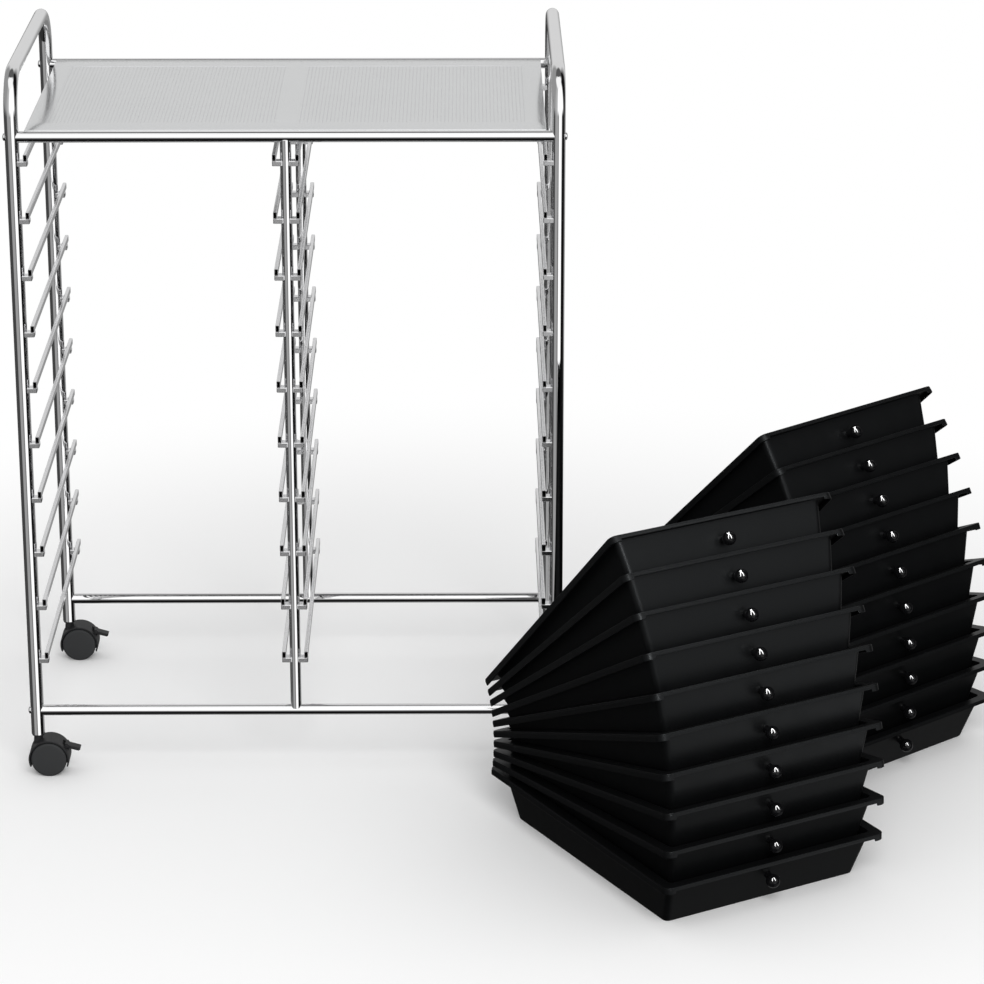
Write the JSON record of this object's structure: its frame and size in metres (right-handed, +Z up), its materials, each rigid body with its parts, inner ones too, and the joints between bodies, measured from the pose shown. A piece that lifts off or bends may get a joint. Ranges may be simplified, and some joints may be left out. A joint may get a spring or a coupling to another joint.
{
  "type": "rolling drawer cart",
  "caption": "Chrome tube cart on braked casters with drawer rails in side-by-side bays under a mesh shelf, its plastic drawers lifted out and nested in fanned stacks beside it.",
  "frame": {"origin": "on the floor, under the middle of the box round the cart and its stacks", "axes": "+X to the cart's right, where the stacks stand, +Y to its back, +Z up"},
  "size_m": [1.177, 0.8458, 0.867],
  "materials": {
    "chrome_tube": "polished plating",
    "chrome_rail": "bright plating",
    "shelf_sheet": "satin silver coat on pressed sheet",
    "drawer_plastic": "satin moulded",
    "knob_plastic": "gloss",
    "caster_plastic": "satin moulded",
    "wheel_plastic": "semi-gloss moulded",
    "brake_plastic": "satin moulded"
  },
  "bodies": {
    "cart": {"left_side_hoop": "chrome_tube", "right_side_hoop": "chrome_tube", "cross_bars": "chrome_tube", "center_posts": "chrome_tube", "shelf_panel": "shelf_sheet", "frame_screws": "chrome_tube", "drawer_rails": "chrome_rail", "rail_clips": "chrome_rail"},
    "front_left_caster": {"front_left_caster_hood": "caster_plastic"},
    "front_left_caster_wheels": {"front_left_caster_wheels": "wheel_plastic"},
    "front_left_caster_brake": {"front_left_caster_brake": "brake_plastic"},
    "front_right_caster": {"front_right_caster_hood": "caster_plastic"},
    "front_right_caster_wheels": {"front_right_caster_wheels": "wheel_plastic"},
    "front_right_caster_brake": {"front_right_caster_brake": "brake_plastic"},
    "rear_left_caster": {"rear_left_caster_hood": "caster_plastic"},
    "rear_left_caster_wheels": {"rear_left_caster_wheels": "wheel_plastic"},
    "rear_left_caster_brake": {"rear_left_caster_brake": "brake_plastic"},
    "rear_right_caster": {"rear_right_caster_hood": "caster_plastic"},
    "rear_right_caster_wheels": {"rear_right_caster_wheels": "wheel_plastic"},
    "rear_right_caster_brake": {"rear_right_caster_brake": "brake_plastic"},
    "drawer_01": {"drawer_01_tray": "drawer_plastic", "drawer_01_knob": "knob_plastic"},
    "drawer_02": {"drawer_02_tray": "drawer_plastic", "drawer_02_knob": "knob_plastic"},
    "drawer_03": {"drawer_03_tray": "drawer_plastic", "drawer_03_knob": "knob_plastic"},
    "drawer_04": {"drawer_04_tray": "drawer_plastic", "drawer_04_knob": "knob_plastic"},
    "drawer_05": {"drawer_05_tray": "drawer_plastic", "drawer_05_knob": "knob_plastic"},
    "drawer_06": {"drawer_06_tray": "drawer_plastic", "drawer_06_knob": "knob_plastic"},
    "drawer_07": {"drawer_07_tray": "drawer_plastic", "drawer_07_knob": "knob_plastic"},
    "drawer_08": {"drawer_08_tray": "drawer_plastic", "drawer_08_knob": "knob_plastic"},
    "drawer_09": {"drawer_09_tray": "drawer_plastic", "drawer_09_knob": "knob_plastic"},
    "drawer_10": {"drawer_10_tray": "drawer_plastic", "drawer_10_knob": "knob_plastic"},
    "drawer_11": {"drawer_11_tray": "drawer_plastic", "drawer_11_knob": "knob_plastic"},
    "drawer_12": {"drawer_12_tray": "drawer_plastic", "drawer_12_knob": "knob_plastic"},
    "drawer_13": {"drawer_13_tray": "drawer_plastic", "drawer_13_knob": "knob_plastic"},
    "drawer_14": {"drawer_14_tray": "drawer_plastic", "drawer_14_knob": "knob_plastic"},
    "drawer_15": {"drawer_15_tray": "drawer_plastic", "drawer_15_knob": "knob_plastic"},
    "drawer_16": {"drawer_16_tray": "drawer_plastic", "drawer_16_knob": "knob_plastic"},
    "drawer_17": {"drawer_17_tray": "drawer_plastic", "drawer_17_knob": "knob_plastic"},
    "drawer_18": {"drawer_18_tray": "drawer_plastic", "drawer_18_knob": "knob_plastic"},
    "drawer_19": {"drawer_19_tray": "drawer_plastic", "drawer_19_knob": "knob_plastic"},
    "drawer_20": {"drawer_20_tray": "drawer_plastic", "drawer_20_knob": "knob_plastic"}
  },
  "joints": [
    {"name": "front_left_caster_swivel", "type": "hinge", "parent": "cart", "child": "front_left_caster", "pos_m": [-0.57698, 0.02746, 0.051], "axis": [0, 0, 1], "continuous": true},
    {"name": "front_left_caster_roll", "type": "hinge", "parent": "front_left_caster", "child": "front_left_caster_wheels", "pos_m": [-0.56398, 0.02746, 0.0215], "axis": [0, 1, 0], "continuous": true},
    {"name": "front_left_caster_brake_press", "type": "hinge", "parent": "front_left_caster", "child": "front_left_caster_brake", "pos_m": [-0.54293, 0.02746, 0.03624], "axis": [0, 1, 0], "range_deg": [0, 18]},
    {"name": "front_right_caster_swivel", "type": "hinge", "parent": "cart", "child": "front_right_caster", "pos_m": [0.04702, 0.02746, 0.051], "axis": [0, 0, 1], "continuous": true},
    {"name": "front_right_caster_roll", "type": "hinge", "parent": "front_right_caster", "child": "front_right_caster_wheels", "pos_m": [0.06001, 0.02746, 0.0215], "axis": [0, 1, 0], "continuous": true},
    {"name": "front_right_caster_brake_press", "type": "hinge", "parent": "front_right_caster", "child": "front_right_caster_brake", "pos_m": [0.08107, 0.02746, 0.03624], "axis": [0, 1, 0], "range_deg": [0, 18]},
    {"name": "rear_left_caster_swivel", "type": "hinge", "parent": "cart", "child": "rear_left_caster", "pos_m": [-0.57698, 0.39746, 0.051], "axis": [0, 0, 1], "continuous": true},
    {"name": "rear_left_caster_roll", "type": "hinge", "parent": "rear_left_caster", "child": "rear_left_caster_wheels", "pos_m": [-0.56398, 0.39746, 0.0215], "axis": [0, 1, 0], "continuous": true},
    {"name": "rear_left_caster_brake_press", "type": "hinge", "parent": "rear_left_caster", "child": "rear_left_caster_brake", "pos_m": [-0.54293, 0.39746, 0.03624], "axis": [0, 1, 0], "range_deg": [0, 18]},
    {"name": "rear_right_caster_swivel", "type": "hinge", "parent": "cart", "child": "rear_right_caster", "pos_m": [0.04702, 0.39746, 0.051], "axis": [0, 0, 1], "continuous": true},
    {"name": "rear_right_caster_roll", "type": "hinge", "parent": "rear_right_caster", "child": "rear_right_caster_wheels", "pos_m": [0.06001, 0.39746, 0.0215], "axis": [0, 1, 0], "continuous": true},
    {"name": "rear_right_caster_brake_press", "type": "hinge", "parent": "rear_right_caster", "child": "rear_right_caster_brake", "pos_m": [0.08107, 0.39746, 0.03624], "axis": [0, 1, 0], "range_deg": [0, 18]},
    {"name": "drawer_01_lift", "type": "slide", "parent": "cart", "child": "drawer_01", "axis": [0, 0, 1], "range_m": [0, 0.07]},
    {"name": "drawer_02_lift", "type": "slide", "parent": "drawer_01", "child": "drawer_02", "axis": [0, 0, 1], "range_m": [0, 0.07]},
    {"name": "drawer_03_lift", "type": "slide", "parent": "drawer_02", "child": "drawer_03", "axis": [0, 0, 1], "range_m": [0, 0.07]},
    {"name": "drawer_04_lift", "type": "slide", "parent": "drawer_03", "child": "drawer_04", "axis": [0, 0, 1], "range_m": [0, 0.07]},
    {"name": "drawer_05_lift", "type": "slide", "parent": "drawer_04", "child": "drawer_05", "axis": [0, 0, 1], "range_m": [0, 0.07]},
    {"name": "drawer_06_lift", "type": "slide", "parent": "drawer_05", "child": "drawer_06", "axis": [0, 0, 1], "range_m": [0, 0.07]},
    {"name": "drawer_07_lift", "type": "slide", "parent": "drawer_06", "child": "drawer_07", "axis": [0, 0, 1], "range_m": [0, 0.07]},
    {"name": "drawer_08_lift", "type": "slide", "parent": "drawer_07", "child": "drawer_08", "axis": [0, 0, 1], "range_m": [0, 0.07]},
    {"name": "drawer_09_lift", "type": "slide", "parent": "drawer_08", "child": "drawer_09", "axis": [0, 0, 1], "range_m": [0, 0.07]},
    {"name": "drawer_10_lift", "type": "slide", "parent": "drawer_09", "child": "drawer_10", "axis": [0, 0, 1], "range_m": [0, 0.07]},
    {"name": "drawer_11_lift", "type": "slide", "parent": "cart", "child": "drawer_11", "axis": [0, 0, 1], "range_m": [0, 0.07]},
    {"name": "drawer_12_lift", "type": "slide", "parent": "drawer_11", "child": "drawer_12", "axis": [0, 0, 1], "range_m": [0, 0.07]},
    {"name": "drawer_13_lift", "type": "slide", "parent": "drawer_12", "child": "drawer_13", "axis": [0, 0, 1], "range_m": [0, 0.07]},
    {"name": "drawer_14_lift", "type": "slide", "parent": "drawer_13", "child": "drawer_14", "axis": [0, 0, 1], "range_m": [0, 0.07]},
    {"name": "drawer_15_lift", "type": "slide", "parent": "drawer_14", "child": "drawer_15", "axis": [0, 0, 1], "range_m": [0, 0.07]},
    {"name": "drawer_16_lift", "type": "slide", "parent": "drawer_15", "child": "drawer_16", "axis": [0, 0, 1], "range_m": [0, 0.07]},
    {"name": "drawer_17_lift", "type": "slide", "parent": "drawer_16", "child": "drawer_17", "axis": [0, 0, 1], "range_m": [0, 0.07]},
    {"name": "drawer_18_lift", "type": "slide", "parent": "drawer_17", "child": "drawer_18", "axis": [0, 0, 1], "range_m": [0, 0.07]},
    {"name": "drawer_19_lift", "type": "slide", "parent": "drawer_18", "child": "drawer_19", "axis": [0, 0, 1], "range_m": [0, 0.07]},
    {"name": "drawer_20_lift", "type": "slide", "parent": "drawer_19", "child": "drawer_20", "axis": [0, 0, 1], "range_m": [0, 0.07]}
  ]
}
